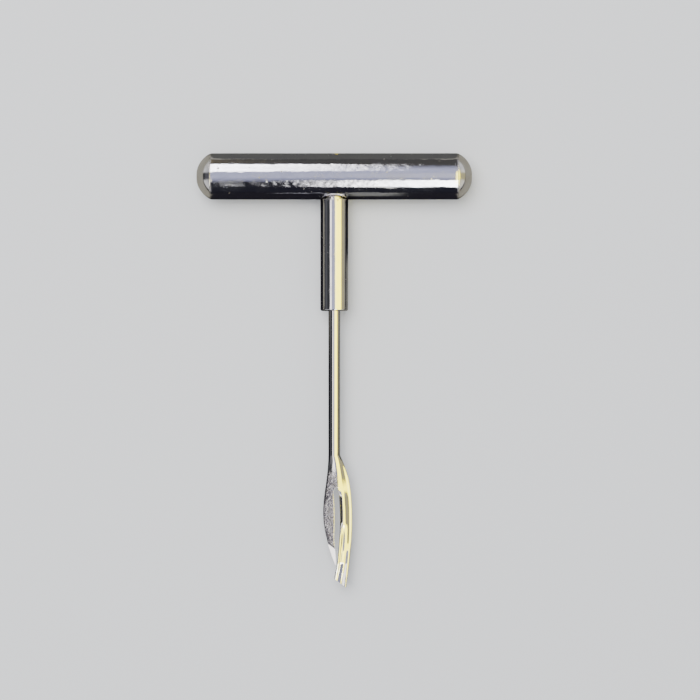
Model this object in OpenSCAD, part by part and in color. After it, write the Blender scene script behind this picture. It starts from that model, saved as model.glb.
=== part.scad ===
// T-handle tyre plug insertion tool: a tubular handle, a stem collar and a clamped split-eye needle.
// It lies flat: +X runs along the handle, +Y from the needle's point to the handle, +Z up.

/* [Handle] */
// Outside diameter of the handle tube
handle_d = 15; // [12:0.5:20]
// Length of the tube between the two end caps
tube_l = 80; // [60:1:110]
// Wall thickness of the tube
tube_wall = 1.5; // [1:0.1:2.2]

/* [End caps] */
// How far each domed crown stands past the tube
crown_l = 4.6; // [3:0.1:6]
// Diameter of the flat in the middle of the crown
crown_flat_d = 3.6; // [2:0.2:6]
// Length of the skirt that is pressed into the tube
skirt_l = 8; // [5:0.5:14]
// Wall thickness of the skirt
skirt_wall = 1.2; // [0.8:0.1:2]

/* [Stem collar] */
// Diameter of the collar that shows below the handle
collar_d = 9; // [8:0.1:10.8]
// Length of the collar from the handle's underside to its mouth
collar_l = 36.1; // [32:0.1:60]
// Diameter of the seat pressed into the tube's near wall
seat_d = 6.4; // [5.8:0.1:7.4]
// Diameter of the spigot riveted flush through the far wall
spigot_d = 5; // [4:0.1:5.6]
// Chamfer around the collar's mouth
mouth_chamfer = 0.35; // [0.2:0.05:0.6]

/* [Needle] */
// Diameter of the needle's round shank
needle_d = 3.8; // [3:0.1:4.6]
// Length of shank between the collar's mouth and the fork
shank_l = 46.8; // [30:0.1:70]
// Length of shank that sits inside the collar
seated_l = 24; // [18:0.5:28]
// Depth of the flat that the grub screw bears on
flat_depth = 0.9; // [0.5:0.05:1.1]

/* [Fork] */
// Length of the long prong, from the end of the round shank to its point
long_l = 42.9; // [34:0.1:52]
// How much shorter the short prong is
short_by = 7.2; // [4:0.1:12]
// Width of the long prong
prong_w = 3.8; // [3:0.1:4.6]
// Control reach of the bow in the long prong
bow_reach = 5.1; // [3.6:0.1:6]
// Sideways offset of the long prong's point from the shank's axis
point_shift = 1.9; // [0:0.1:2.4]
// Control reach of the leaf-shaped outer edge of the short prong
leaf_reach = 6.8; // [5:0.1:8]
// How much further back the near corner of the ground point is
point_slant = 2.9; // [1:0.1:4]
// Width of the eye between the prongs
eye_w = 1.8; // [1.2:0.1:2.2]
// Width of the slit that opens the eye
slit_w = 0.5; // [0.3:0.05:0.8]
// Distance from the end of the round shank to the eye
eye_start = 10.4; // [8:0.1:14]
// Thickness of the fork at the shank, the eye, the slit and the point
fork_t = [3.4, 2.8, 2.4, 0.9];

/* [Grub screw] */
// Thread diameter of the grub screw
screw_d = 5; // [4:0.1:5]
// Thread pitch
screw_pitch = 0.8; // [0.5:0.05:0.8]
// Length of the grub screw
screw_l = 3; // [2.4:0.1:3]
// Size of the hex socket across its flats
hex_af = 2.5; // [2:0.1:2.5]
// Depth of the hex socket
hex_depth = 1.6; // [1.2:0.1:1.8]
// Distance from the collar's mouth to the screw's axis
screw_back = 8; // [6:0.5:12]

/* [Clearances] */
// Radial clearance of the needle in the collar
slide_clear = 0.05; // [0.02:0.01:0.09]
// Radial clearance of the screw's crests in its hole
thread_clear = 0.05; // [0.02:0.01:0.09]
// Gap between the screw's tip and the needle's flat
tip_clear = 0.02; // [0.01:0.01:0.05]
// Room left behind the needle at the bottom of the bore
bore_room = 0.5; // [0.2:0.1:1]

/* [Hidden] */
$fn = 96;
cut = 1;                                     // how far a cutting shape runs past what it cuts
steps = 28;                                  // points along one edge of the fork
handle_r = handle_d / 2;
tube_r = handle_r - tube_wall;               // inside radius of the tube
needle_r = needle_d / 2;
shoulder_y = sqrt(tube_r * tube_r - seat_d * seat_d / 4) - 0.05;   // the seat stops short of the far wall
mouth_y = -handle_r - collar_l;              // measured from the handle's axis, as all that follow
screw_y = mouth_y + screw_back;
root_y = mouth_y - shank_l;
point_y = root_y - long_l;
bore_l = seated_l + bore_room;
flat_z = needle_r - flat_depth;              // from the needle's axis to its flat
flat_end_y = screw_y - screw_d / 2 - 1;      // the flat runs from here to the inner end
short_l = long_l - short_by;
eye_close = short_l * 0.72;                  // where the eye starts to narrow towards the slit
eye_round = eye_w * 1.4;                     // length of the eye's rounded end
thread_h = 0.61 * screw_pitch;
socket_r = hex_af / sqrt(3);
axis_y = (handle_r - point_y) / 2 - handle_r;   // puts the middle of the tool's length at Y = 0

// from a frame on the handle's axis to the tool's own frame
module place() translate([0, axis_y, handle_r]) children();

// a cylinder along Y from y0 to y1
module along_y(d, y0, y1) translate([0, y0, 0]) rotate([-90, 0, 0]) cylinder(d = d, h = y1 - y0);

module handle_tube() {
    color("silver") place() difference() {
        rotate([0, 90, 0]) cylinder(r = handle_r, h = tube_l, center = true);
        rotate([0, 90, 0]) cylinder(r = tube_r, h = tube_l + 2 * cut, center = true);
        along_y(seat_d, -handle_r - cut, 0);
        along_y(spigot_d, 0, handle_r + cut);
    }
}

// drawn for the +X end, and mirrored for the other
module end_cap() {
    flat_r = crown_flat_d / 2;
    centre = (crown_l * crown_l + flat_r * flat_r - handle_r * handle_r) / (2 * crown_l);
    crown_r = sqrt(centre * centre + handle_r * handle_r);
    color("gainsboro") place() translate([tube_l / 2, 0, 0]) rotate([0, 90, 0]) {
        intersection() {
            translate([0, 0, centre]) sphere(r = crown_r);
            cylinder(r = handle_r + cut, h = crown_l);
        }
        difference() {
            translate([0, 0, -skirt_l]) cylinder(r = tube_r, h = skirt_l);
            translate([0, 0, -skirt_l - cut]) cylinder(r = tube_r - skirt_wall, h = skirt_l + cut);
        }
    }
}

module stem_collar() {
    color("silver") place() difference() {
        union() {
            translate([0, mouth_y, 0]) rotate([-90, 0, 0])
                cylinder(d1 = collar_d - 2 * mouth_chamfer, d2 = collar_d, h = mouth_chamfer);
            along_y(collar_d, mouth_y + mouth_chamfer, -handle_r);
            along_y(seat_d, -handle_r, shoulder_y);
            intersection() {
                along_y(spigot_d, 0, handle_r + cut);
                rotate([0, 90, 0]) cylinder(r = handle_r, h = collar_d, center = true);
            }
        }
        along_y(needle_d + 2 * slide_clear, mouth_y - cut, mouth_y + bore_l);
        translate([0, screw_y, -collar_d]) cylinder(r = screw_d / 2 + thread_clear, h = collar_d);
    }
}

// a point of a cubic curve, at t from 0 to 1
function bezier(p, t) = pow(1 - t, 3) * p[0] + 3 * t * pow(1 - t, 2) * p[1]
    + 3 * t * t * (1 - t) * p[2] + pow(t, 3) * p[3];
function smooth(t) = let (c = min(1, max(0, t))) c * c * (3 - 2 * c);

// the long prong's centre line and the short prong's outer edge, as [distance from the shank, offset]
long_line = [[0, 0], [0.19 * long_l, 0.78 * bow_reach], [0.47 * long_l, bow_reach], [long_l, point_shift]];
leaf_line = [[0, -needle_r], [0.39 * short_l, -needle_r - 0.3], [0.5 * short_l, -leaf_reach],
             [short_l, bezier(long_line, 0.9)[1] - prong_w / 2 - slit_w]];

// how far the prongs are apart at a distance v from the shank
function eye_at(v) = let (r = max(0, 1 - (v - eye_start) / eye_round))
    v <= eye_start ? 0 : eye_w * sqrt(1 - r * r);
function gap_at(v) = let (s = smooth((v - eye_close) / (short_l - eye_close)))
    eye_at(v) * (1 - s) + slit_w * s;

long_inner = [for (i = [0:steps]) bezier(long_line, i / steps) - [0, prong_w / 2]];
long_outer = [for (i = [0:steps]) bezier(long_line, i / steps) + [0, prong_w / 2]];
inner_eye = [for (p = long_inner) if (p[0] >= eye_start && p[0] < long_l - point_slant) p];
short_inner = [for (p = long_inner) if (p[0] > eye_start && p[0] < short_l - 1) p - [0, gap_at(p[0])]];
leaf_edge = [for (i = [0:steps]) bezier(leaf_line, i / steps)];

function reversed(list) = [for (i = [len(list) - 1:-1:0]) list[i]];

// the fork seen from above: offset along X, distance from the shank along -Y
module fork_outline() {
    near_corner = [long_l - point_slant, point_shift + 0.1 - prong_w / 2];
    loop = concat(leaf_edge, reversed(short_inner), inner_eye, [near_corner], reversed(long_outer));
    polygon([for (p = loop) [p[1], -p[0]]]);
}

// the fork seen from the side, as a strip that tapers to the point
module fork_side() {
    stations = [0, 0.42 * long_l, 0.82 * long_l, long_l];
    top = [for (i = [0:3]) [-stations[i], fork_t[i] / 2]];
    bottom = [for (i = [3:-1:0]) [-stations[i], -fork_t[i] / 2]];
    polygon(concat(top, bottom));
}

module insertion_needle() {
    wide = 4 * needle_d;
    color("lightgray") place() {
        difference() {
            along_y(needle_d, root_y, mouth_y + seated_l);
            translate([-needle_r - cut, flat_end_y, -needle_r - cut])
                cube([needle_d + 2 * cut, seated_l + collar_l, flat_depth + cut]);
        }
        translate([0, root_y, 0]) rotate([90, 0, 0]) cylinder(d1 = needle_d, d2 = 1, h = eye_start * 0.7);
        translate([0, root_y, 0]) intersection() {
            translate([0, 0, -needle_r]) linear_extrude(needle_d) fork_outline();
            rotate([90, 0, 90]) translate([0, 0, -wide]) linear_extrude(2 * wide) fork_side();
        }
    }
}

// outline of the thread: rings at the pitch, from the flush tip to the chamfered outer end
module thread_outline() {
    turns = floor((screw_l - thread_h) / screw_pitch);
    crest = screw_d / 2;
    grooves = [for (i = [1:turns], p = [[-0.4, 0], [0, thread_h], [0.4, 0]])
        [crest - p[1], thread_h / 2 + (i - 0.5 + p[0]) * screw_pitch]];
    polygon(concat([[0, 0], [crest - thread_h, 0], [crest, thread_h / 2]], grooves,
                   [[crest, screw_l - thread_h], [crest - thread_h, screw_l], [0, screw_l]]));
}

module grub_screw() {
    color("dimgray") place() translate([0, screw_y, -flat_z - tip_clear]) rotate([180, 0, 0]) difference() {
        rotate_extrude() thread_outline();
        translate([0, 0, screw_l - hex_depth]) cylinder(r = socket_r, h = hex_depth + cut, $fn = 6);
    }
}

handle_tube();
mirror([1, 0, 0]) end_cap();  // left_end_cap
end_cap();  // right_end_cap
stem_collar();
insertion_needle();
grub_screw();
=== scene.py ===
import math
import bmesh
import bpy
import numpy as np
from mathutils import Matrix, Vector, noise
from mathutils.kdtree import KDTree


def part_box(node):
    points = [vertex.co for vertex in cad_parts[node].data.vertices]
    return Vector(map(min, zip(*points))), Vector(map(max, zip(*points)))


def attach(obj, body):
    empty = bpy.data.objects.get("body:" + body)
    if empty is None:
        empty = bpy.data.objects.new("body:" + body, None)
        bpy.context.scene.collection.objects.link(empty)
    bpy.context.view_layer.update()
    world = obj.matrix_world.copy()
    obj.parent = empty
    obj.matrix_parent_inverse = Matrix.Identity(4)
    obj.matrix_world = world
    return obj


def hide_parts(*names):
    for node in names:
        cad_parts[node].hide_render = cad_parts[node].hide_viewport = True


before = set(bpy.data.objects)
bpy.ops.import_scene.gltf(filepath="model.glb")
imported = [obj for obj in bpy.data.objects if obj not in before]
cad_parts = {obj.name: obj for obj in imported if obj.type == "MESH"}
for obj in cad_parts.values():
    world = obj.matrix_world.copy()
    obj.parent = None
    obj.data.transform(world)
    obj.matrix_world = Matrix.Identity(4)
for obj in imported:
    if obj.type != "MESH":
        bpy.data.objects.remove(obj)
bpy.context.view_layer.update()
mm = 0.001

# everything is placed from the frame's own boxes, in millimetres
tubeLow, tubeHigh = [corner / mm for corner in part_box("handle_tube")]
collarLow, collarHigh = [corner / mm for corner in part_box("stem_collar")]
needleLow, needleHigh = [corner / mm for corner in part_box("insertion_needle")]
screwLow, screwHigh = [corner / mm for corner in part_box("grub_screw")]
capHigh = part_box("right_end_cap")[1] / mm
gripY = (tubeLow.y + tubeHigh.y) / 2
gripZ = (tubeLow.z + tubeHigh.z) / 2
gripRadius = (tubeHigh.z - tubeLow.z) / 2
print("frame loaded, grip axis at y", round(gripY, 2), "z", round(gripZ, 2))


# small helpers

def makePiece(name, points, faces=(), edges=()):
    mesh = bpy.data.meshes.new(name)
    mesh.from_pydata([tuple(float(c) * mm for c in p) for p in points], edges, faces)
    piece = bpy.data.objects.new(name, mesh)
    bpy.context.scene.collection.objects.link(piece)
    return piece


def bakeModifiers(piece):
    # turns what the modifiers make into the piece's own plain mesh
    graph = bpy.context.evaluated_depsgraph_get()
    mesh = bpy.data.meshes.new_from_object(piece.evaluated_get(graph), depsgraph=graph)
    piece.modifiers.clear()
    piece.data = mesh
    mesh.name = piece.name


def cleanMesh(piece, sharpAngle=32, weld=0.002):
    shape = bmesh.new()
    shape.from_mesh(piece.data)
    bmesh.ops.remove_doubles(shape, verts=shape.verts, dist=weld * mm)
    bmesh.ops.dissolve_degenerate(shape, edges=shape.edges, dist=weld * mm)
    bmesh.ops.recalc_face_normals(shape, faces=shape.faces)
    for face in shape.faces:
        face.smooth = True
    shape.to_mesh(piece.data)
    shape.free()
    piece.data.set_sharp_from_angle(angle=math.radians(sharpAngle))


def cutAway(piece, cutters):
    for cutter in cutters:
        modifier = piece.modifiers.new("cut", "BOOLEAN")
        modifier.operation = "DIFFERENCE"
        modifier.solver = "EXACT"
        modifier.object = cutter
    bakeModifiers(piece)
    for cutter in cutters:
        bpy.data.objects.remove(cutter)


def rodAlong(name, radius, start, end, sides=96):
    # a closed round rod between two points, used to drill
    a, b = Vector(start), Vector(end)
    turn = (b - a).to_track_quat("Z", "Y")
    rings = [[p + turn @ Vector((radius * math.cos(t), radius * math.sin(t), 0))
              for t in np.linspace(0, 2 * math.pi, sides, endpoint=False)] for p in (a, b)]
    walls = [[i, (i + 1) % sides, sides + (i + 1) % sides, sides + i] for i in range(sides)]
    ends = [list(range(sides))[::-1], list(range(sides, 2 * sides))]
    return makePiece(name, rings[0] + rings[1], walls + ends)


def storeShare(mesh, name, values):
    layer = mesh.attributes.new(name, "FLOAT", "POINT")
    layer.data.foreach_set("value", values)


def markWear(piece, spread, foldAngle=24):
    # how near each point is to a crisp edge, from 1 on it down to 0 away from it
    mesh = piece.data
    shape = bmesh.new()
    shape.from_mesh(mesh)
    onEdge = set()
    for edge in shape.edges:
        if len(edge.link_faces) == 2 and edge.calc_face_angle(0) > math.radians(foldAngle):
            onEdge.update(v.index for v in edge.verts)
    tree = KDTree(max(1, len(onEdge)))
    for i in onEdge:
        tree.insert(mesh.vertices[i].co, i)
    tree.balance()
    near = [math.exp(-tree.find(v.co)[2] / (spread * mm)) if onEdge else 0.0 for v in mesh.vertices]
    shape.free()
    storeShare(mesh, "edgeWear", near)


# node helpers, for materials and for geometry

def link(tree, output, target):
    tree.links.new(output, target)


def mathStep(tree, operation, first, second=None, clamp=False):
    node = tree.nodes.new("ShaderNodeMath")
    node.operation = operation
    node.use_clamp = clamp
    for socket, value in zip(node.inputs, (first, second)):
        if value is None:
            continue
        if isinstance(value, (int, float)):
            socket.default_value = value
        else:
            link(tree, value, socket)
    return node.outputs[0]


def axesOf(tree, vector):
    node = tree.nodes.new("ShaderNodeSeparateXYZ")
    link(tree, vector, node.inputs[0])
    return node.outputs


def rangeStep(tree, value, low, high, toLow=0.0, toHigh=1.0):
    node = tree.nodes.new("ShaderNodeMapRange")
    node.clamp = True
    node.interpolation_type = "SMOOTHSTEP"
    link(tree, value, node.inputs["Value"])
    for name, number in (("From Min", low), ("From Max", high), ("To Min", toLow), ("To Max", toHigh)):
        node.inputs[name].default_value = number
    return node.outputs["Result"]


def noiseStep(tree, vector, scale, detail=3.0, roughness=0.5, seed=0.0):
    node = tree.nodes.new("ShaderNodeTexNoise")
    node.noise_dimensions = "4D"
    node.inputs["W"].default_value = seed
    node.inputs["Scale"].default_value = scale
    node.inputs["Detail"].default_value = detail
    node.inputs["Roughness"].default_value = roughness
    link(tree, vector, node.inputs["Vector"])
    return node.outputs[0]


def tintMix(tree, share, first, second):
    # a colour or a colour output on either side
    mix = tree.nodes.new("ShaderNodeMix")
    mix.data_type = "RGBA"
    for socket, value in ((mix.inputs[6], first), (mix.inputs[7], second)):
        if isinstance(value, tuple):
            socket.default_value = (*value, 1)
        else:
            link(tree, value, socket)
    link(tree, share, mix.inputs[0])
    return mix.outputs[2]


def attributeStep(tree, name):
    node = tree.nodes.new("ShaderNodeAttribute")
    node.attribute_name = name
    return node.outputs["Fac"]


def mappingStep(tree, vector, scale, turn=(0, 0, 0)):
    node = tree.nodes.new("ShaderNodeMapping")
    node.inputs["Rotation"].default_value = turn
    node.inputs["Scale"].default_value = scale
    link(tree, vector, node.inputs["Vector"])
    return node.outputs[0]


def bumpChain(tree, rows):
    # rows hold a height, its depth in millimetres and its strength; each bump builds on the last
    normal = None
    for height, depth, strength in rows:
        bump = tree.nodes.new("ShaderNodeBump")
        bump.inputs["Strength"].default_value = strength
        bump.inputs["Distance"].default_value = depth * mm
        link(tree, height, bump.inputs["Height"])
        if normal is not None:
            link(tree, normal, bump.inputs["Normal"])
        normal = bump.outputs["Normal"]
    return normal


def metalBase(name):
    material = bpy.data.materials.new(name)
    material.use_nodes = True
    tree = material.node_tree
    shader = tree.nodes["Principled BSDF"]
    shader.inputs["Metallic"].default_value = 1.0
    place = tree.nodes.new("ShaderNodeTexCoord").outputs["Object"]
    return material, tree, shader, place


# plated metal

def platedMetal(name, look):
    # plated steel: soft ripple under the plating, directional rub marks, pinholes and worn edges
    material, tree, shader, place = metalBase(name)
    stretched = mappingStep(tree, place, look["rubStretch"])
    crossed = mappingStep(tree, place, (0.12, 1.0, 1.0), (0.5, 0.7, 0.9))

    cloud = rangeStep(tree, noiseStep(tree, place, look["cloudScale"], 4, 0.6, 1), 0.38, 0.66)
    rub = rangeStep(tree, noiseStep(tree, stretched, look["rubScale"], 2, 0.5, 2), 0.58, 0.72)
    nick = rangeStep(tree, noiseStep(tree, crossed, look["nickScale"], 1, 0.4, 3), 0.70, 0.76)
    pinhole = rangeStep(tree, noiseStep(tree, place, look["pinholeScale"], 0, 0.5, 4), 0.78, 0.84)
    ripple = noiseStep(tree, stretched, look["rippleScale"], 2, 0.45, 5)
    ragged = rangeStep(tree, noiseStep(tree, place, look["wearScale"], 3, 0.6, 6), 0.35, 0.62)
    worn = mathStep(tree, "MULTIPLY", attributeStep(tree, "edgeWear"), ragged, clamp=True)

    plate = tintMix(tree, cloud, look["colour"], look["cloudColour"])
    pitted = tintMix(tree, pinhole, plate, look["pinholeColour"])
    link(tree, tintMix(tree, worn, pitted, look["wornColour"]), shader.inputs["Base Color"])

    rough = mathStep(tree, "MULTIPLY_ADD", cloud, look["cloudRoughness"])
    rough.node.inputs[2].default_value = look["roughness"]
    for mask, amount in ((rub, look["rubRoughness"]), (nick, look["nickRoughness"]),
                         (pinhole, look["pinholeRoughness"]), (worn, look["wornRoughness"])):
        more = mathStep(tree, "MULTIPLY_ADD", mask, amount)
        link(tree, rough, more.node.inputs[2])
        rough = more
    link(tree, rough, shader.inputs["Roughness"])

    normal = bumpChain(tree, [(ripple, look["rippleDepth"], 1.0), (rub, look["rubDepth"], 0.6),
                              (nick, look["nickDepth"], 0.7), (pinhole, look["pinholeDepth"], 0.8)])
    link(tree, normal, shader.inputs["Normal"])
    return material


handleLook = {
    "colour": (0.74, 0.735, 0.76), "cloudColour": (0.66, 0.655, 0.70),
    "pinholeColour": (0.22, 0.2, 0.19), "wornColour": (0.56, 0.54, 0.51),
    "roughness": 0.05, "cloudRoughness": 0.07, "rubRoughness": 0.07, "nickRoughness": 0.12,
    "pinholeRoughness": 0.3, "wornRoughness": 0.16, "nickDepth": -0.004, "pinholeDepth": -0.02,
    "cloudScale": 130, "rubStretch": (0.42, 1, 1), "rubScale": 1500, "nickScale": 900,
    "pinholeScale": 900, "wearScale": 1200,
    "rippleScale": 780, "rippleDepth": 0.048, "rubDepth": 0.004,
}
capLook = dict(handleLook, colour=(0.74, 0.73, 0.71), cloudColour=(0.64, 0.62, 0.58), roughness=0.09,
               rubStretch=(1, 1, 1), rippleScale=300, rippleDepth=0.01, cloudScale=240)
collarLook = dict(handleLook, colour=(0.75, 0.74, 0.72), cloudColour=(0.69, 0.68, 0.67), roughness=0.05,
                  rubStretch=(1, 0.25, 1), rippleScale=420, rippleDepth=0.008, cloudScale=200)

handleChrome = platedMetal("handleChrome", handleLook)
capChrome = platedMetal("capChrome", capLook)
collarChrome = platedMetal("collarChrome", collarLook)
print("plated metals ready")


# forged and plated needle, and the black grub screw

def forgedMetal(name, look):
    # the needle's plating is bright on the shank and dull and speckled where the forging was left rough; its
    # near-black colour there, on the short prong and the left half of the flattened joint, is partly painted
    # dark reflection
    material, tree, shader, place = metalBase(name)
    forgedAndShaded = attributeStep(tree, "forgedAndShaded")
    drawn = mappingStep(tree, place, (1, 0.12, 1))
    scale = rangeStep(tree, noiseStep(tree, place, look["scaleSize"], 4, 0.65, 7), 0.42, 0.62)
    speck = rangeStep(tree, noiseStep(tree, place, look["speckSize"], 1, 0.5, 8), 0.66, 0.74)
    line = rangeStep(tree, noiseStep(tree, drawn, look["drawSize"], 3, 0.55, 9), 0.5, 0.75)
    wave = noiseStep(tree, place, look["waveSize"], 3, 0.55, 10)

    # the dark mix is partly the rough forging's dull finish and partly painted dark reflection
    dullAndShaded = mathStep(tree, "MULTIPLY", forgedAndShaded, rangeStep(tree, scale, 0, 1, 0.55, 1.0))
    colour = tintMix(tree, dullAndShaded, look["bright"], look["dullAndShaded"])
    rubbed = mathStep(tree, "MULTIPLY", attributeStep(tree, "edgeWear"), forgedAndShaded, clamp=True)
    bare = tintMix(tree, rubbed, colour, look["rubbed"])
    spots = mathStep(tree, "MULTIPLY", speck, rangeStep(tree, forgedAndShaded, 0, 1, 0.15, 1.0))
    link(tree, tintMix(tree, spots, bare, look["speck"]), shader.inputs["Base Color"])

    rough = mathStep(tree, "MULTIPLY_ADD", dullAndShaded, look["dullRoughness"])
    rough.node.inputs[2].default_value = look["roughness"]
    more = mathStep(tree, "MULTIPLY_ADD", line, look["lineRoughness"])
    link(tree, rough, more.node.inputs[2])
    link(tree, more, shader.inputs["Roughness"])

    smallDents = mathStep(tree, "MULTIPLY", scale, forgedAndShaded)
    normal = bumpChain(tree, [(wave, look["waveDepth"], 1.0), (smallDents, look["dentDepth"], 1.0),
                              (line, look["lineDepth"], 0.6)])
    link(tree, normal, shader.inputs["Normal"])
    return material


needleLook = {
    # the dull colour is partly the forging's own finish and partly painted dark reflection
    "bright": (0.74, 0.73, 0.69), "dullAndShaded": (0.085, 0.078, 0.102), "rubbed": (0.70, 0.68, 0.70),
    "speck": (0.16, 0.11, 0.08), "roughness": 0.035, "dullRoughness": 0.24, "lineRoughness": 0.05,
    "waveDepth": 0.010, "dentDepth": 0.018, "lineDepth": 0.003,
    "scaleSize": 2300, "speckSize": 2100, "drawSize": 2200, "waveSize": 420,
}
screwLook = dict(handleLook, colour=(0.075, 0.075, 0.085), cloudColour=(0.045, 0.045, 0.05),
                 pinholeColour=(0.02, 0.02, 0.02), wornColour=(0.42, 0.40, 0.38), roughness=0.26,
                 cloudRoughness=0.12, rubStretch=(1, 1, 1), cloudScale=700, rippleScale=1500,
                 rippleDepth=0.004, wearScale=2600)

needleChrome = forgedMetal("needleChrome", needleLook)
blackOxide = platedMetal("blackOxide", screwLook)
print("needle and screw metals ready")


# geometry node trees, and the pieces turned on a lathe: a profile swept round a circle

def startTree(name, inputs, output):
    # gives the tree, its named inputs and the socket that takes the result
    tree = bpy.data.node_groups.new(name, "GeometryNodeTree")
    for label, kind in inputs:
        tree.interface.new_socket(name=label, in_out="INPUT", socket_type="NodeSocket" + kind)
    tree.interface.new_socket(name=output, in_out="OUTPUT", socket_type="NodeSocketGeometry")
    source = tree.nodes.new("NodeGroupInput").outputs
    return tree, source, tree.nodes.new("NodeGroupOutput").inputs[output]


def endTree(tree, geometry, finish, result):
    real = tree.nodes.new("GeometryNodeRealizeInstances")
    paint = tree.nodes.new("GeometryNodeSetMaterial")
    link(tree, geometry, real.inputs[0])
    link(tree, real.outputs[0], paint.inputs["Geometry"])
    link(tree, finish, paint.inputs["Material"])
    link(tree, paint.outputs[0], result)


def latheTree():
    inputs = (("Profile", "Geometry"), ("Sides", "Int"), ("Centre Radius", "Float"), ("Ripple", "Float"),
              ("Ripple Scale", "Float"), ("Seed", "Float"), ("Finish", "Material"))
    tree, source, result = startTree("turnOnLathe", inputs, "Turned")
    outline = tree.nodes.new("GeometryNodeMeshToCurve")
    circle = tree.nodes.new("GeometryNodeCurvePrimitiveCircle")
    sweep = tree.nodes.new("GeometryNodeCurveToMesh")
    weld = tree.nodes.new("GeometryNodeMergeByDistance")
    weld.inputs["Distance"].default_value = 0.001 * mm
    link(tree, source["Profile"], outline.inputs["Mesh"])
    link(tree, source["Sides"], circle.inputs["Resolution"])
    link(tree, source["Centre Radius"], circle.inputs["Radius"])
    link(tree, circle.outputs["Curve"], sweep.inputs["Curve"])
    link(tree, outline.outputs["Curve"], sweep.inputs["Profile Curve"])
    link(tree, sweep.outputs["Mesh"], weld.inputs["Geometry"])

    # a faint unevenness of the metal itself, along its own normals
    ripple = tree.nodes.new("ShaderNodeTexNoise")
    ripple.noise_dimensions = "4D"
    ripple.inputs["Detail"].default_value = 1.5
    link(tree, source["Ripple Scale"], ripple.inputs["Scale"])
    link(tree, source["Seed"], ripple.inputs["W"])
    swing = mathStep(tree, "MULTIPLY", mathStep(tree, "SUBTRACT", ripple.outputs[0], 0.5), source["Ripple"])
    push = tree.nodes.new("ShaderNodeVectorMath")
    push.operation = "SCALE"
    link(tree, tree.nodes.new("GeometryNodeInputNormal").outputs[0], push.inputs[0])
    link(tree, swing, push.inputs["Scale"])
    move = tree.nodes.new("GeometryNodeSetPosition")
    link(tree, weld.outputs["Geometry"], move.inputs["Geometry"])
    link(tree, push.outputs[0], move.inputs["Offset"])
    endTree(tree, move.outputs[0], source["Finish"], result)
    return tree


def setInputs(modifier, values):
    # sockets are set by identifier, looked up from their names
    for item in modifier.node_group.interface.items_tree:
        if item.item_type == "SOCKET" and item.in_out == "INPUT" and item.name in values:
            modifier[item.identifier] = values[item.name]


def softCorners(path, closed=False, steps=4):
    # path holds (along, radius, corner radius); each rounded corner becomes a short curve
    points = []
    count = len(path)
    for i, (along, radius, corner) in enumerate(path):
        here = Vector((along, radius))
        if corner <= 0 or (not closed and i in (0, count - 1)):
            points.append(here)
            continue
        before = Vector(path[i - 1][:2])
        after = Vector(path[(i + 1) % count][:2])
        start = here + (before - here).normalized() * corner
        end = here + (after - here).normalized() * corner
        for t in np.linspace(0, 1, steps + 1):
            points.append(start * (1 - t) ** 2 + here * (2 * t * (1 - t)) + end * t ** 2)
    return points


def splitLong(points, longest, closed=False):
    out = []
    pairs = list(zip(points, points[1:] + points[:1] if closed else points[1:]))
    for a, b in pairs:
        parts = max(1, math.ceil((b - a).length / longest))
        out += [a.lerp(b, k / parts) for k in range(parts)]
    if not closed:
        out.append(points[-1])
    return out


lathe = latheTree()


def turned(name, points, closed, sides, ripple, rippleScale, seed, finish, turn, centre):
    # the sweep takes radius along X and runs down -Y, which comes out as height
    bead = 1.0
    flat = [(p.y - bead, -p.x, 0) for p in points]
    edges = [(i, i + 1) for i in range(len(flat) - 1)] + ([(len(flat) - 1, 0)] if closed else [])
    piece = makePiece(name, flat, edges=edges)
    modifier = piece.modifiers.new("turn", "NODES")
    modifier.node_group = lathe
    setInputs(modifier, {"Sides": sides, "Centre Radius": bead * mm, "Ripple": ripple * mm,
                         "Ripple Scale": rippleScale, "Seed": seed, "Finish": finish})
    bakeModifiers(piece)
    piece.data.transform(Matrix.Translation(Vector(centre) * mm) @ turn)
    return piece


toPlusX = Matrix.Rotation(math.pi / 2, 4, "Y")
toMinusX = Matrix.Rotation(-math.pi / 2, 4, "Y")
toPlusY = Matrix.Rotation(-math.pi / 2, 4, "X")

# handle tube

tubeSpec = {"wall": 1.5, "lip": 0.22, "innerLip": 0.15, "seatHole": 3.22, "rivetHole": 2.56, "sides": 192,
            "ringEvery": 0.9, "ripple": 0.012, "rippleScale": 160, "drillReach": 12}

tubeHalf = (tubeHigh.x - tubeLow.x) / 2
tubeInner = gripRadius - tubeSpec["wall"]
tubePath = softCorners([(-tubeHalf, gripRadius, tubeSpec["lip"]), (tubeHalf, gripRadius, tubeSpec["lip"]),
                        (tubeHalf, tubeInner, tubeSpec["innerLip"]),
                        (-tubeHalf, tubeInner, tubeSpec["innerLip"])], closed=True)
tubePiece = turned("handleTube", splitLong(tubePath, tubeSpec["ringEvery"], True), True, tubeSpec["sides"],
                   tubeSpec["ripple"], tubeSpec["rippleScale"], 3.0, handleChrome, toPlusX,
                   (0, gripY, gripZ))
cleanMesh(tubePiece)
drillReach = tubeSpec["drillReach"]
cutAway(tubePiece, [rodAlong("seatDrill", tubeSpec["seatHole"], (0, gripY - drillReach, gripZ),
                             (0, gripY, gripZ)),
                    rodAlong("rivetDrill", tubeSpec["rivetHole"], (0, gripY, gripZ),
                             (0, gripY + drillReach, gripZ))])
cleanMesh(tubePiece)
markWear(tubePiece, 0.45)
print("handle tube", len(tubePiece.data.polygons), "faces")

# end caps

capSpec = {"flat": 1.8, "flatEdge": 0.5, "rim": 0.22, "skirtLength": 8, "skirtOuter": 6.0, "skirtWall": 1.2,
           "sides": 160, "ripple": 0.02, "rippleScale": 210}


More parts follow.
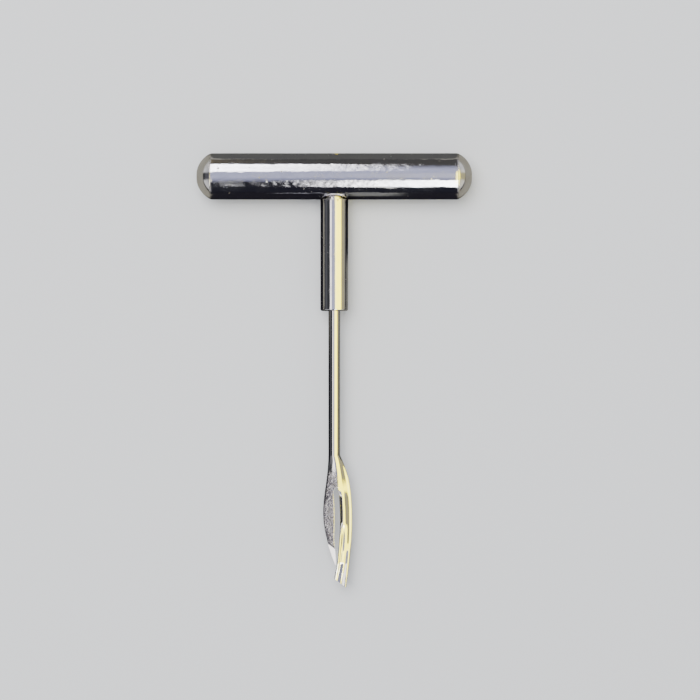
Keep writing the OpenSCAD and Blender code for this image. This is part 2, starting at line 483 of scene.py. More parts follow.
def capPath():
    # the crown is a spherical arc from the rim to a small flat in the middle
    height = capHigh.x - tubeHigh.x
    flat, rim, outer, skirt = capSpec["flat"], gripRadius, capSpec["skirtOuter"], capSpec["skirtLength"]
    centre = (height ** 2 + flat ** 2 - rim ** 2) / (2 * height)
    ball = math.hypot(centre, rim)
    angles = np.linspace(math.asin(flat / ball), math.asin(rim / ball), 26)
    arc = [(ball * math.cos(a) + centre, ball * math.sin(a), 0) for a in angles]
    inner = outer - capSpec["skirtWall"]
    path = [(height, 0, 0), (height, flat, capSpec["flatEdge"])] + arc[2:-1]
    path += [(0, rim, capSpec["rim"]), (0, outer, 0), (-skirt, outer, 0.4), (-skirt, inner, 0.2)]
    path += [(0, inner, 0.3), (0, 0, 0)]
    return splitLong(softCorners(path), 0.7)


capPieces = []
for side, turn, seed in (("left", toMinusX, 11.0), ("right", toPlusX, 17.0)):
    x = tubeLow.x if side == "left" else tubeHigh.x
    cap = turned(side + "EndCap", capPath(), False, capSpec["sides"], capSpec["ripple"],
                 capSpec["rippleScale"], seed, capChrome, turn, (x, gripY, gripZ))
    cleanMesh(cap)
    markWear(cap, 0.5)
    capPieces.append(cap)
print("end caps", [len(c.data.polygons) for c in capPieces], "faces")

# stem collar

collarSpec = {"mouthChamfer": 0.35, "boreEdge": 0.18, "bore": 1.95, "boreLength": 24.5, "seat": 3.2,
              "spigot": 2.5, "shoulderGap": 0.05, "screwHole": 2.55, "sides": 144, "ringEvery": 0.8,
              "ripple": 0.006, "rippleScale": 230, "rivetProud": 0.02, "drillReach": 9}

collarRadius = (collarHigh.x - collarLow.x) / 2
mouthY = collarLow.y
collarLength = gripY - gripRadius - mouthY
shoulder = math.sqrt(tubeInner ** 2 - collarSpec["seat"] ** 2) - collarSpec["shoulderGap"] + gripY - mouthY
tailEnd = gripY + gripRadius - mouthY
boreEdge, bore, depth, chamfer, seat, spigot = [
    collarSpec[name] for name in ("boreEdge", "bore", "boreLength", "mouthChamfer", "seat", "spigot")]
collarPath = [(depth, 0, 0), (depth, bore, 0), (boreEdge, bore, 0), (0, bore + boreEdge, 0),
              (0, collarRadius - chamfer, 0.08), (chamfer, collarRadius, 0.12),
              (collarLength, collarRadius, 0.1), (collarLength, seat, 0), (shoulder, seat, 0.15),
              (shoulder, spigot, 0), (tailEnd, spigot, 0), (tailEnd, 0, 0)]
collarPiece = turned("stemCollar", splitLong(softCorners(collarPath), collarSpec["ringEvery"]), False,
                     collarSpec["sides"], collarSpec["ripple"], collarSpec["rippleScale"], 23.0, collarChrome,
                     toPlusY, (0, mouthY, gripZ))
cleanMesh(collarPiece)
screwY = (screwLow.y + screwHigh.y) / 2
cutAway(collarPiece, [rodAlong("screwDrill", collarSpec["screwHole"],
                               (0, screwY, gripZ - collarSpec["drillReach"]), (0, screwY, gripZ))])
for vertex in collarPiece.data.vertices:
    # the riveted end is dressed down to the tube's own curve
    y, z = vertex.co.y / mm - gripY, vertex.co.z / mm - gripZ
    surface = math.sqrt(max(0, gripRadius ** 2 - z ** 2)) + collarSpec["rivetProud"]
    if y > gripRadius - 1 and y > surface:
        vertex.co.y = (surface + gripY) * mm
cleanMesh(collarPiece)
markWear(collarPiece, 0.4)
print("stem collar", len(collarPiece.data.polygons), "faces")


# insertion needle

# lengths in millimetres; "thickness" is at the shank, the eye, the slit and the point, "joint" is
# where the shank flattens, and "ground" is where the short prong was ground smooth after forging
needleSpec = {
    "shankRadius": 1.9, "flatDepth": 0.9, "flatFrom": 4.5, "longLength": 42.9, "shortBy": 7.2,
    "prongWidth": 3.8, "bow": 5.1, "pointShift": 1.9, "leaf": 6.8, "pointSlant": 2.9, "eye": 1.8,
    "slit": 0.5, "eyeStart": 10.4, "eyeRound": 1.4, "thickness": (3.4, 2.8, 2.4, 0.9),
    "jointLead": 1.5, "jointLength": 9, "forgedFrom": 2, "forgedLength": 7, "partingLead": 6,
    "openingLength": 2.6, "openingSteps": 12, "leanFrom": 33, "step": 0.22, "endShrink": 0.87,
    "roughnessDepth": 0.038, "longRoughness": 0.012, "dentSize": 0.9,
    "groundFrom": 28.2, "groundLean": 0.8, "groundBlend": 0.5, "groundHeight": 0.5, "groundRise": 0.24,
}

long, short = needleSpec["longLength"], needleSpec["longLength"] - needleSpec["shortBy"]
shankRadius, prongHalf = needleSpec["shankRadius"], needleSpec["prongWidth"] / 2
eyeStart = needleSpec["eyeStart"]
rootY = needleLow.y + long


def smooth(t):
    t = min(1.0, max(0.0, t))
    return t * t * (3 - 2 * t)


def curveOf(handles):
    # a cubic curve, resampled as offset against distance
    t = np.linspace(0, 1, 400)[:, None]
    p = [np.array(h, float) for h in handles]
    line = (1 - t) ** 3 * p[0] + 3 * t * (1 - t) ** 2 * p[1] + 3 * t ** 2 * (1 - t) * p[2] + t ** 3 * p[3]
    return lambda v: float(np.interp(v, line[:, 0], line[:, 1]))


bowLine = curveOf([(0, 0), (0.19 * long, 0.78 * needleSpec["bow"]), (0.47 * long, needleSpec["bow"]),
                   (long, needleSpec["pointShift"])])
tipOffset = bowLine(short) - prongHalf - needleSpec["slit"]
leafLine = curveOf([(0, -shankRadius), (0.39 * short, -shankRadius - 0.3), (0.5 * short, -needleSpec["leaf"]),
                    (short, tipOffset)])


def eyeAt(v):
    since = v - eyeStart
    if since <= 0:
        return 0.0
    rounding = max(0.0, 1 - since / (needleSpec["eye"] * needleSpec["eyeRound"]))
    opened = needleSpec["eye"] * math.sqrt(1 - rounding ** 2)
    closing = smooth((v - 0.72 * short) / (0.28 * short))
    return opened * (1 - closing) + needleSpec["slit"] * closing


def thicknessAt(v):
    return float(np.interp(v, [0, 0.42 * long, 0.82 * long, long], needleSpec["thickness"]))


def section(knots):
    across, height = zip(*knots)
    return lambda w: float(np.interp(w, across, height))


# the prongs' front faces, as (across, height) from edge to edge, at a few distances from the shank
flankKnots = [(-0.86, 0.72), (-0.46, 1.0), (-0.14, 0.88), (0.64, 0.10), (0.92, 0.06), (1, 0.05)]
rimKnots = [(-1, 0.96), (-0.97, 1.0), (-0.72, 0.93)]
lowerKnots = [(-0.58, 0.70), (-0.42, 0.70), (0.14, 0.62), (0.26, 0.44), (0.62, 0.52), (0.70, 0.54),
              (0.92, 0.49), (1, 0.44)]
longSections = [
    (10.0, section([(-1, 0.58)] + flankKnots)),
    (20.0, section([(-1, 0.46)] + flankKnots)),
    (27.5, section(rimKnots[:2] + [(-0.70, 0.92), (-0.42, 0.58), (-0.02, 0.62), (0.28, 0.54), (0.70, 0.10),
                                   (0.93, 0.06), (1, 0.05)])),
    (32.5, section(rimKnots + lowerKnots)),
    (35.0, section(rimKnots + lowerKnots)),
    (35.3, section(rimKnots + [(-0.58, 0.60), (-0.42, 0.56), (0.14, 0.60), (0.26, 0.42), (0.62, 0.56),
                               (0.70, 0.60), (0.92, 0.54), (1, 0.48)])),
    (43.0, section(rimKnots + [(-0.52, 0.50), (0.08, 0.54), (0.22, 0.38), (0.62, 0.72), (0.70, 0.80),
                               (0.92, 0.73), (1, 0.62)])),
]
leafSections = [
    (10.0, section([(-1, 0.20), (-0.7, 0.44), (-0.1, 0.72), (0.55, 0.90), (0.94, 1.0), (1, 1.0)])),
    (19.0, section([(-1, 0.34), (-0.84, 0.56), (-0.2, 0.74), (0.45, 0.86), (0.94, 1.0), (1, 1.0)])),
    (28.0, section([(-1, 0.36), (-0.8, 0.50), (-0.2, 0.70), (0.4, 0.84), (0.94, 0.98), (1, 0.98)])),
    (30.0, section([(-1, 0.42), (1, 0.86)])),
    (36.0, section([(-1, 0.42), (1, 0.80)])),
]


# where the shank flattens and spreads: a rough left half, a shallow valley, and a ridge to the right of it
jointSection = section([(-1, 0), (-0.96, 0.28), (-0.88, 0.42), (-0.5, 0.68), (-0.1, 0.86), (0.06, 0.87),
                        (0.36, 0.70), (0.80, 0.10), (0.96, 0.06), (1, 0)])


def blendSections(sections, v, w):
    stations = [s[0] for s in sections]
    place = min(max(v, stations[0]), stations[-1])
    i = min(len(stations) - 2, int(np.searchsorted(stations, place, side="right")) - 1)
    share = smooth((place - stations[i]) / (stations[i + 1] - stations[i]))
    # averaging three nearby readings rounds the creases between facets
    spread = (-0.025, 0.0, 0.025)
    low = sum(sections[i][1](max(-1, min(1, w + s))) for s in spread) / 3
    high = sum(sections[i + 1][1](max(-1, min(1, w + s))) for s in spread) / 3
    return low * (1 - share) + high * share


def jointHeight(v, u):
    # the round shank flattens and spreads before the eye parts it
    left = leafLine(max(v, 0.0))
    right = bowLine(max(v, 0.0)) + prongHalf
    w = max(-1.0, min(1.0, (2 * u - left - right) / (right - left)))
    share = smooth((v + needleSpec["jointLead"]) / needleSpec["jointLength"])
    rod = shankRadius * math.sqrt(max(0.0, 1 - w * w))
    level = sum(jointSection(w + s) for s in (-0.02, 0.0, 0.02))
    spread = thicknessAt(max(v, 0.0)) / 2 * level / 3
    return rod * (1 - share) + spread * share


def prongHeight(v, u, w, sections, outer):
    # outer is the side that closes in a rounded edge; the other side ends in a wall along the eye
    own = thicknessAt(v) / 2 * blendSections(sections, v, w)
    roundFrom, easedFrom = 0.9, 0.86
    easing = 0.16 if outer > 0 else 0.04
    rim = max(0.0, w * outer - roundFrom) / (1 - roundFrom)
    own *= math.sqrt(max(0.0, 1 - rim ** 2))
    inner = max(0.0, -w * outer - easedFrom) / (1 - easedFrom)
    own *= 1 - easing * inner ** 2
    share = smooth((v - eyeStart) / 4.5)
    return jointHeight(v, u) * (1 - share) + own * share


def forgingDents(v, u, side, amount):
    spot = Vector((u, v, 5.0 * side)) / needleSpec["dentSize"]
    coarse = noise.noise(spot)
    fine = noise.noise(spot * 2.7 + Vector((3.1, 7.7, 1.3)))
    return amount * (coarse + 0.5 * fine)


across = 40
wallSteps = 5
ease = [(1 - math.cos(math.pi * i / across)) / 2 for i in range(across + 1)]


def slantShift(v, w):
    # the long prong's last stretch leans into its oblique ground end
    lean = smooth((v - needleSpec["leanFrom"]) / (long - needleSpec["leanFrom"]))
    return -needleSpec["pointSlant"] * (1 - w) / 2 * lean ** 1.5


# each point's forged share sets the forging's roughness and its dark colour, which is partly painted dark
# reflection
points, faces, forgedAndShadedShare = [], [], []


def addPoint(v, u, z, forgedAndShaded=0.0):
    # v runs from the shank's end towards the point, u across and z up from the axis
    points.append((u, rootY - v, gripZ + z))
    forgedAndShadedShare.append(forgedAndShaded)
    return len(points) - 1


def jointRing(v, flat):
    # one closed ring of the undivided needle: top from left to right, then the underside back
    left = leafLine(max(v, 0.0)) if v > 0 else -shankRadius
    right = bowLine(max(v, 0.0)) + prongHalf if v > 0 else shankRadius
    lead = needleSpec["partingLead"]
    middle = (bowLine(eyeStart) - prongHalf) * smooth((v + lead) / (eyeStart + lead))
    spots = [left + (middle - left) * e for e in ease] + [middle + (right - middle) * e for e in ease[1:]]
    forgedAndShaded = smooth((v - needleSpec["forgedFrom"]) / needleSpec["forgedLength"])
    top, bottom = [], []
    for k, u in enumerate(spots):
        h = jointHeight(v, u)
        # the left half takes more of the forged share: it is rougher, and also painted darker as shade on
        # that side
        leafShare = 1 - smooth((u - middle + 0.8) / 1.6)
        amount = needleSpec["roughnessDepth"] * forgedAndShaded * (0.25 + 0.75 * leafShare) * min(1, h)
        share = forgedAndShaded * (0.12 + 0.88 * leafShare)
        top.append(addPoint(v, u, h + forgingDents(v, u, 1, amount), share))
        if 0 < k < len(spots) - 1:
            low = -h - forgingDents(v, u, -1, amount)
            if flat:
                low = max(low, -(shankRadius - needleSpec["flatDepth"]))
            bottom.append(addPoint(v, u, low, share))
    return top + bottom[::-1]


def joinRings(a, b):
    n = len(a)
    for i in range(n):
        faces.append([a[i], a[(i + 1) % n], b[(i + 1) % n], b[i]])


# the shank, from its inner end to the crotch of the eye
seatEnd = -(needleHigh.y - rootY)
flatEnd = -(mouthY + needleSpec["flatFrom"] - rootY)
stations = [(seatEnd + v, True) for v in (0.3, 6, 12)] + [(flatEnd, True)]
stations += [(v, False) for v in (flatEnd + 0.001, flatEnd + 3, -40, -30, -20, -12, -6, -4, -2.5, -1.5)]
stations += [(v, False) for v in np.arange(-1.0, eyeStart - 0.1, needleSpec["step"])]
stations.append((eyeStart, False))
endShrink = needleSpec["endShrink"]
ring = None
for v, flat in stations:
    fresh = jointRing(float(v), flat)
    if ring is None:
        # chamfered inner end
        shrink = []
        for i in fresh:
            x, y, z = points[i]
            shrink.append(addPoint(seatEnd, x * endShrink, (z - gripZ) * endShrink))
        faces.append(shrink[::-1])
        joinRings(shrink, fresh)
    else:
        joinRings(ring, fresh)
    ring = fresh

# at the crotch the ring parts into two loops that share a wall
middleTop, middleBottom = ring[across], ring[len(ring) - across]
crotch = [middleTop]
for j in range(1, wallSteps):
    share = j / wallSteps
    u = points[middleTop][0]
    z = points[middleTop][2] * (1 - share) + points[middleBottom][2] * share - gripZ
    crotch.append(addPoint(eyeStart, u, z, 0.6))
crotch.append(middleBottom)

topRow, bottomRow = ring[:2 * across + 1], [ring[0]] + ring[:2 * across - 1:-1]
leafLoop = {"top": topRow[:across + 1], "wall": crotch, "bottom": bottomRow[:across + 1]}
longLoop = {"top": topRow[across:][::-1], "wall": crotch, "bottom": bottomRow[across:][::-1]}


def groundShare(v, w):
    edge = v - needleSpec["groundFrom"] - needleSpec["groundLean"] * (w + 1)
    return smooth(edge / needleSpec["groundBlend"])


def prongLoop(v, start, end, sections, outer, roughness, slanted=False):
    # rows run from the rounded outer edge to the eye's wall
    rows = {"top": [], "bottom": []}
    for k in range(across + 1):
        e = ease[k]
        u = start + (end - start) * e
        w = (2 * e - 1) * -outer
        shifted = v + slantShift(v, w) if slanted else v
        h = prongHeight(v, u, w, sections, outer)
        ground = groundShare(v, w) if outer < 0 else 0.0
        smoothed = needleSpec["groundHeight"] + needleSpec["groundRise"] * abs(u - start)
        h = h * (1 - ground) + smoothed * ground
        amount = roughness * min(1, h * 1.5) * (1 if k < across else 0.4) * (1 - ground)
        # the short prong takes the full forged share: rough, and painted dark partly as painted reflection
        forgedShadeShare = (1.0 if outer < 0 else 0.10) * (1 - ground)
        for row, side in (("top", 1), ("bottom", -1)):
            if k == 0 and side == -1:
                rows[row].append(rows["top"][0])
                continue
            z = side * (h + forgingDents(v, u, side, amount)) if k else 0.0
            rows[row].append(addPoint(shifted, u, z, forgedShadeShare))
    wall = [rows["top"][-1]]
    zTop, zBottom = [points[rows[row][-1]][2] - gripZ for row in ("top", "bottom")]
    endV = v + slantShift(v, outer * -1.0) if slanted else v
    for j in range(1, wallSteps):
        share = j / wallSteps
        wall.append(addPoint(endV, end, zTop * (1 - share) + zBottom * share, 0.6))
    wall.append(rows["bottom"][-1])
    return {"top": rows["top"], "wall": wall, "bottom": rows["bottom"]}


def joinLoops(a, b):
    for row in ("top", "wall", "bottom"):
        for i in range(len(a[row]) - 1):
            faces.append([a[row][i], a[row][i + 1], b[row][i + 1], b[row][i]])


def closeLoop(loop):
    # the end face: strips between the top and the underside, then the wall
    top, bottom = loop["top"], loop["bottom"]
    for i in range(1, across):
        faces.append([top[i], top[i + 1], bottom[i + 1], bottom[i]])
    faces.append([top[0], top[1], bottom[1]])
    faces.append(loop["wall"][::-1])


def prongStations(stop, last):
    # close together where the eye opens, then even
    span, count, step = needleSpec["openingLength"], needleSpec["openingSteps"], needleSpec["step"]
    opening = [eyeStart + span * (j / count) ** 2 for j in range(1, count + 1)]
    return opening + list(np.arange(opening[-1] + step, stop, step)) + [last]


def edgeWobble(v, amount, pace, seed):
    return amount * noise.noise(Vector((v * pace, seed, 0)))


def leafEdges(v):
    outerEdge = leafLine(v) + edgeWobble(v, 0.05, 0.8, 4.2) * smooth((v - eyeStart) / 4)
    return outerEdge, bowLine(v) - prongHalf - eyeAt(v)


def longEdges(v):
    return bowLine(v) + prongHalf + edgeWobble(v, 0.03, 0.6, 9.1), bowLine(v) - prongHalf


def buildProng(loop, along, edges, *how):
    for v in along:
        fresh = prongLoop(v, *edges(v), *how)
        joinLoops(loop, fresh)
        loop = fresh
    closeLoop(loop)


buildProng(leafLoop, prongStations(short - 0.35, short - 0.12), leafEdges, leafSections, -1,
           needleSpec["roughnessDepth"])
buildProng(longLoop, prongStations(long - 0.05, long), longEdges, longSections, 1,
           needleSpec["longRoughness"], True)

needlePiece = makePiece("insertionNeedle", points, faces)
# the forged share drives the forging's roughness and the partly painted dark reflection colour
storeShare(needlePiece.data, "forgedAndShaded", forgedAndShadedShare)
cleanMesh(needlePiece, 38)
markWear(needlePiece, 0.16, 30)
needlePiece.data.materials.append(needleChrome)
print("needle", len(needlePiece.data.polygons), "faces")


# grub screw

screwSpec = {"crest": 2.5, "pitch": 0.8, "threadDepth": 0.42, "length": 3.0, "tipChamfer": 0.3,
             "socket": 2.5, "socketDepth": 1.6, "socketLead": 0.12, "core": 2.35, "sides": 144,
             "ringEvery": 0.045}


def threadTree():
    # presses a helical groove into the blank's round wall
    inputs = (("Blank", "Geometry"), ("Pitch", "Float"), ("Depth", "Float"), ("Length", "Float"),
              ("Core", "Float"), ("Finish", "Material"))
    tree, source, result = startTree("rollThread", inputs, "Threaded")
    x, y, z = axesOf(tree, tree.nodes.new("GeometryNodeInputPosition").outputs[0])
    radius = mathStep(tree, "SQRT", mathStep(tree, "ADD", mathStep(tree, "MULTIPLY", x, x),
                                             mathStep(tree, "MULTIPLY", y, y)))
    turns = mathStep(tree, "DIVIDE", mathStep(tree, "ARCTAN2", y, x), 2 * math.pi)
    climb = mathStep(tree, "DIVIDE", z, source["Pitch"])
    phase = mathStep(tree, "FRACT", mathStep(tree, "ADD", climb, turns))
    fold = mathStep(tree, "ABSOLUTE", mathStep(tree, "SUBTRACT", mathStep(tree, "MULTIPLY", phase, 2), 1))
    groove = rangeStep(tree, fold, 0.10, 0.90)
    fromEnds = mathStep(tree, "MINIMUM", z, mathStep(tree, "SUBTRACT", source["Length"], z))
    lead = rangeStep(tree, mathStep(tree, "DIVIDE", fromEnds, source["Pitch"]), 0.05, 0.55)
    onWall = mathStep(tree, "GREATER_THAN", radius, source["Core"])
    bite = mathStep(tree, "MULTIPLY", mathStep(tree, "MULTIPLY", groove, lead),
                    mathStep(tree, "MULTIPLY", source["Depth"], onWall))
    keep = mathStep(tree, "SUBTRACT", 1.0, mathStep(tree, "DIVIDE", bite, radius))
    moved = tree.nodes.new("ShaderNodeCombineXYZ")
    link(tree, mathStep(tree, "MULTIPLY", x, keep), moved.inputs[0])
    link(tree, mathStep(tree, "MULTIPLY", y, keep), moved.inputs[1])
    link(tree, z, moved.inputs[2])

    move = tree.nodes.new("GeometryNodeSetPosition")
    link(tree, source["Blank"], move.inputs["Geometry"])
    link(tree, moved.outputs[0], move.inputs["Position"])
    endTree(tree, move.outputs[0], source["Finish"], result)
    return tree


def screwBlank():
    # stacked rings from the flush tip, round outside and six-sided in the socket
    sides, length, crest = screwSpec["sides"], screwSpec["length"], screwSpec["crest"]
    chamfer, lead = screwSpec["tipChamfer"], screwSpec["socketLead"]
    floor = length - screwSpec["socketDepth"]
    corner = screwSpec["socket"] / math.sqrt(3)

    def hexRadius(angle):
        return screwSpec["socket"] / 2 / math.cos((angle + math.pi / 6) % (math.pi / 3) - math.pi / 6)

    rings = [(0.0, lambda a: 0.6), (0.0, lambda a: crest - chamfer - 0.05), (0.04, lambda a: crest - chamfer)]
    for z in np.arange(chamfer, length - chamfer, screwSpec["ringEvery"]):
        rings.append((float(z), lambda a: crest))
    rings += [(length - chamfer, lambda a: crest), (length - 0.03, lambda a: crest - chamfer),
              (length, lambda a: crest - chamfer - 0.05), (length, lambda a: corner + lead),
              (length - lead, hexRadius), (length - 0.6, hexRadius), (floor, hexRadius),
              (floor - 0.25, lambda a: 0.3)]
    spots, sheets = [], []
    for z, radiusOf in rings:
        for k in range(sides):
            a = 2 * math.pi * k / sides
            spots.append((radiusOf(a) * math.cos(a), radiusOf(a) * math.sin(a), z))
    for j in range(len(rings) - 1):
        for k in range(sides):
            n = (k + 1) % sides
            sheets.append([j * sides + k, j * sides + n, (j + 1) * sides + n, (j + 1) * sides + k])
    sheets.append(list(range(sides))[::-1])
    sheets.append([(len(rings) - 1) * sides + k for k in range(sides)])
    return makePiece("grubScrew", spots, sheets)


screwPiece = screwBlank()
modifier = screwPiece.modifiers.new("thread", "NODES")
modifier.node_group = threadTree()
setInputs(modifier, {"Pitch": screwSpec["pitch"] * mm, "Depth": screwSpec["threadDepth"] * mm,
                     "Length": screwSpec["length"] * mm, "Core": screwSpec["core"] * mm,
                     "Finish": blackOxide})
bakeModifiers(screwPiece)
screwPiece.data.transform(Matrix.Translation(Vector((0, screwY, screwHigh.z)) * mm)
                          @ Matrix.Rotation(math.pi, 4, "X"))
cleanMesh(screwPiece, 40)
markWear(screwPiece, 0.12, 30)
print("grub screw", len(screwPiece.data.polygons), "faces")


# the body each piece rides on, the node it stands for and its slot

pieceTable = [
    (tubePiece, "handle", "handle_tube", "handle_chrome"),
    (capPieces[0], "handle", "left_end_cap", "cap_chrome"),
    (capPieces[1], "handle", "right_end_cap", "cap_chrome"),
    (collarPiece, "handle", "stem_collar", "collar_chrome"),
    (needlePiece, "needle", "insertion_needle", "needle_chrome"),
    (screwPiece, "grub_screw", "grub_screw", "screw_steel"),
]
for piece, body, node, slotName in pieceTable:
    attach(piece, body)
    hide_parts(node)
print("pieces ride on their bodies")


# floor, lights and camera

# the floor is plain to the eye; its reflection in the plating is dark, with a few lighter patches
floorSpec = {"half": 3000, "colour": (0.76, 0.77, 0.785), "glossNear": (0.012, 0.011, 0.015),
             "glossBack": (0.07, 0.07, 0.066), "glossNeedle": (0.30, 0.30, 0.27),
             "glossCaps": (0.24, 0.23, 0.20), "glossCollar": (0.16, 0.16, 0.15),
             "glossLeaf": (0.28, 0.28, 0.30), "glossFar": (0.5, 0.5, 0.52), "near": 50, "far": 300}
half = floorSpec["half"]
floorPiece = makePiece("floor", [(-half, -half, 0), (half, -half, 0), (half, half, 0), (-half, half, 0)],
                       [[0, 1, 2, 3]])
floorMaterial = bpy.data.materials.new("paleFloor")
floorMaterial.use_nodes = True
floorTree = floorMaterial.node_tree
floorShader = floorTree.nodes["Principled BSDF"]
floorShader.inputs["Roughness"].default_value = 0.85
floorShader.inputs["Specular IOR Level"].default_value = 0.0
floorX, floorY = axesOf(floorTree, floorTree.nodes.new("ShaderNodeTexCoord").outputs["Object"])[:2]
sideways = mathStep(floorTree, "ABSOLUTE", floorX)
lengthways = mathStep(floorTree, "ABSOLUTE", floorY)


def reach(value, low, high, falling=False):
    # a share that rises, or falls, between two places on the floor in millimetres
    ends = (1.0, 0.0) if falling else (0.0, 1.0)
    return rangeStep(floorTree, value, low * mm, high * mm, *ends)


def patch(base, colour, *shares):
    # tints the floor's reflection where all the shares are high
    share = shares[0]
    for other in shares[1:]:
        share = mathStep(floorTree, "MULTIPLY", share, other)
    return tintMix(floorTree, share, base, floorSpec[colour])


beforeTip = reach(floorY, -100, -80)
besideTool = reach(sideways, 16, 26, falling=True)
closeBy = tintMix(floorTree, reach(floorY, gripY - 3, gripY + 6), floorSpec["glossNear"],
                  floorSpec["glossBack"])
closeBy = patch(closeBy, "glossNeedle", reach(floorX, 1, 7), reach(floorY, 0, 10, falling=True), beforeTip,
                besideTool)
closeBy = patch(closeBy, "glossCaps", reach(sideways, 41, 47), reach(floorY, 0, 20))
closeBy = patch(closeBy, "glossCollar", reach(floorX, 2, 7), reach(floorX, 14, 26, falling=True),
                reach(floorY, gripY - 30, gripY - 22, falling=True))
closeBy = patch(closeBy, "glossLeaf", reach(floorX, -4, -2, falling=True),
                reach(floorY, -36, -30, falling=True), beforeTip, besideTool)
nearer = mathStep(floorTree, "MINIMUM", sideways, lengthways)
further = mathStep(floorTree, "MAXIMUM", sideways, lengthways)
away = mathStep(floorTree, "SUBTRACT", nearer, mathStep(floorTree, "MULTIPLY", further, 0.2))
inGloss = patch(closeBy, "glossFar", reach(away, floorSpec["near"], floorSpec["far"]))
floorRays = floorTree.nodes.new("ShaderNodeLightPath")
link(floorTree, tintMix(floorTree, floorRays.outputs["Is Glossy Ray"], floorSpec["colour"], inGloss),
     floorShader.inputs["Base Color"])
floorPiece.data.materials.append(floorMaterial)


def softPanel(name, corners, colour, strength, fade):
    # a glowing sheet seen only in reflections; fade is how far each side dims, as shares of its size
    steps = 24
    row = steps + 1
    a, b, c, d = [Vector(corner) for corner in corners]
    spots, glow = [], []
    for j in range(row):
        for i in range(row):
            s, t = i / steps, j / steps
            spots.append(a.lerp(b, s).lerp(d.lerp(c, s), t))
            sides = [smooth(gone / width if width else 1) for gone, width in zip((s, 1 - s, t, 1 - t), fade)]
            glow.append(math.prod(sides))
    sheets = [[j * row + i, j * row + i + 1, (j + 1) * row + i + 1, (j + 1) * row + i]
              for j in range(steps) for i in range(steps)]
    panel = makePiece(name, spots, sheets)
    storeShare(panel.data, "glow", glow)
    material = bpy.data.materials.new(name)
    material.use_nodes = True
    tree = material.node_tree
    tree.nodes.clear()
    output = tree.nodes.new("ShaderNodeOutputMaterial")
    clear = tree.nodes.new("ShaderNodeBsdfTransparent")
    both = tree.nodes.new("ShaderNodeAddShader")
    emission = tree.nodes.new("ShaderNodeEmission")
    emission.inputs["Color"].default_value = (*colour, 1)
    link(tree, mathStep(tree, "MULTIPLY", attributeStep(tree, "glow"), strength), emission.inputs["Strength"])
    link(tree, emission.outputs[0], both.inputs[0])
    link(tree, clear.outputs[0], both.inputs[1])
    link(tree, both.outputs[0], output.inputs["Surface"])
    panel.data.materials.append(material)
    panel.visible_camera = False
    panel.visible_diffuse = False
    panel.visible_shadow = False


panelSpec = [
    # name, four corners, colour, strength, how far each side fades
    ("warmSide", [(118, -700, 900), (118, 420, 900), (594, 420, 315), (594, -700, 315)],
     (1.0, 0.87, 0.03), 6.5, (0.12, 0.12, 0.05, 0.10)),
    ("oliveSide", [(594, -700, 315), (594, 420, 315), (820, 420, 30), (820, -700, 30)],
     (0.95, 0.88, 0.48), 0.30, (0.12, 0.12, 0, 0.1)),
    ("upperLeft", [(-420, 240, 1000), (50, 460, 1000), (50, 1680, 1000), (-420, 1680, 1000)],
     (1.0, 0.98, 1.0), 12.0, (0, 0.34, 0.07, 0.06)),
    ("lowerRight", [(-50, -1480, 1000), (420, -1560, 1000), (420, -330, 1000), (-50, -330, 1000)],
     (1.0, 1.0, 1.0), 12.0, (0.34, 0, 0.06, 0.07)),
    ("liftedSky", [(-300, -650, 1000), (300, -650, 1000), (300, 1500, 1000), (-300, 1500, 1000)],
     (0.63, 0.66, 0.97), 0.9, (0, 0, 0.28, 0.46)),
    ("leftLine", [(-760, -700, 1000), (-300, -700, 1000), (-300, 300, 1000), (-760, 300, 1000)],
     (1.0, 0.95, 0.97), 3.6, (0.45, 0.45, 0.1, 0.1)),
    ("leftHaze", [(-560, -700, 1010), (-50, -700, 1010), (-50, 240, 1010), (-560, 240, 1010)],
     (0.80, 0.78, 0.92), 0.22, (0.2, 0.25, 0.1, 0.3)),
    ("lowLeft", [(-900, -700, 620), (-900, 300, 620), (-900, 300, 120), (-900, -700, 120)],
     (0.86, 0.84, 1.0), 0.08, (0.1, 0.1, 0.3, 0.3)),
    ("brownEnd", [(-420, 950, 20), (-30, 950, 20), (-30, 950, 520), (-420, 950, 520)],
     (1.0, 0.74, 0.30), 0.14, (0, 0.3, 0.1, 0.3)),
]
for name, corners, colour, strength, fade in panelSpec:
    softPanel(name, corners, colour, strength, fade)

keySpec = {"place": (-250, 350, 1300), "size": 900, "power": 22}
keyLight = bpy.data.lights.new("key", "AREA")
keyLight.size = keySpec["size"] * mm
keyLight.energy = keySpec["power"]
key = bpy.data.objects.new("key", keyLight)
key.location = Vector(keySpec["place"]) * mm
key.rotation_mode = "QUATERNION"
key.rotation_quaternion = (-Vector(keySpec["place"])).to_track_quat("-Z", "Y")
key.visible_glossy = False
bpy.context.scene.collection.objects.link(key)

# the surroundings: pale behind the tool, an even glow for the floor and a dim room in the plating
world = bpy.data.worlds.new("studio")
bpy.context.scene.world = world
world.use_nodes = True
worldTree = world.node_tree
backdrop = worldTree.nodes["Background"]
x, y, z = axesOf(worldTree, worldTree.nodes.new("ShaderNodeTexCoord").outputs["Generated"])

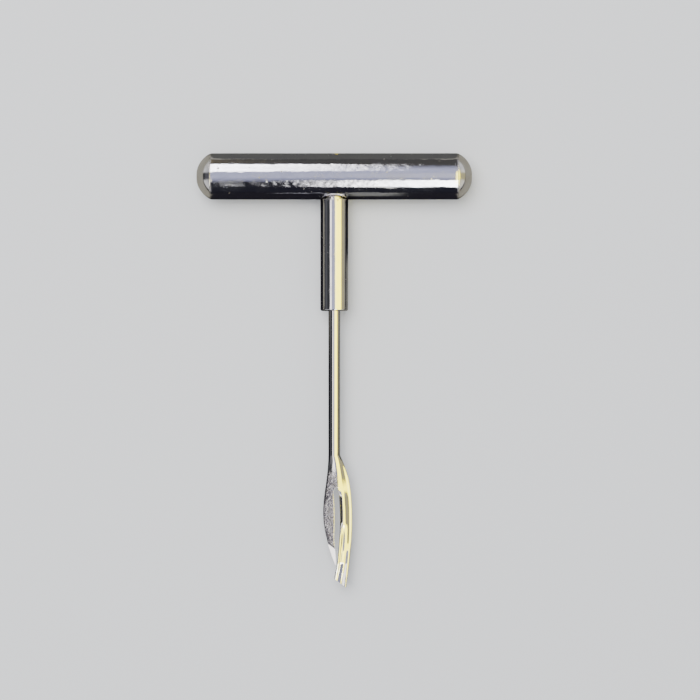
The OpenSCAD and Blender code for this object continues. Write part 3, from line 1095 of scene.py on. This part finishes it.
# dim walls straight ahead, behind and at the sides, and lit corners between them
roomSpec = {"front": (0.02, 0.02, 0.03), "back": (0.085, 0.083, 0.08), "left": (0.05, 0.052, 0.06),
            "right": (0.34, 0.31, 0.20), "cornerLow": (0.95, 0.95, 1.0), "cornerHigh": (0.22, 0.22, 0.25),
            "open": (0.80, 0.81, 0.83)}
offSides = mathStep(worldTree, "ABSOLUTE", x)
offEnds = mathStep(worldTree, "ABSOLUTE", y)
pastSides = rangeStep(worldTree, offSides, 0.10, 0.24)
pastEnds = rangeStep(worldTree, offEnds, 0.14, 0.30)
frontBack = tintMix(worldTree, rangeStep(worldTree, y, -0.1, 0.1), roomSpec["front"], roomSpec["back"])
leftRight = tintMix(worldTree, rangeStep(worldTree, x, -0.1, 0.1), roomSpec["left"], roomSpec["right"])
corners = tintMix(worldTree, rangeStep(worldTree, z, 0.05, 0.85), roomSpec["cornerLow"],
                  roomSpec["cornerHigh"])
walls = tintMix(worldTree, pastEnds, leftRight, tintMix(worldTree, pastSides, frontBack, corners))
betweenSides = rangeStep(worldTree, offSides, 0.10, 0.24, 1.0, 0.0)
nearFrontBack = mathStep(worldTree, "MULTIPLY", betweenSides, pastEnds)
room = tintMix(worldTree, nearFrontBack, walls, frontBack)
rays = worldTree.nodes.new("ShaderNodeLightPath")
link(worldTree, tintMix(worldTree, rays.outputs["Is Glossy Ray"], roomSpec["open"], room),
     backdrop.inputs["Color"])
backdrop.inputs["Strength"].default_value = 1.0

cameraSpec = {"centre": (5.1, 6.6), "distance": 800, "width": 227, "sensor": 36}
cameraData = bpy.data.cameras.new("camera")
cameraData.sensor_width = cameraSpec["sensor"]
cameraData.lens = cameraSpec["sensor"] * cameraSpec["distance"] / cameraSpec["width"]
cameraData.clip_start, cameraData.clip_end = 0.01, 20
camera = bpy.data.objects.new("camera", cameraData)
camera.location = Vector((*cameraSpec["centre"], cameraSpec["distance"] + gripZ)) * mm
bpy.context.scene.collection.objects.link(camera)
bpy.context.scene.camera = camera
print("floor, lights and camera ready")
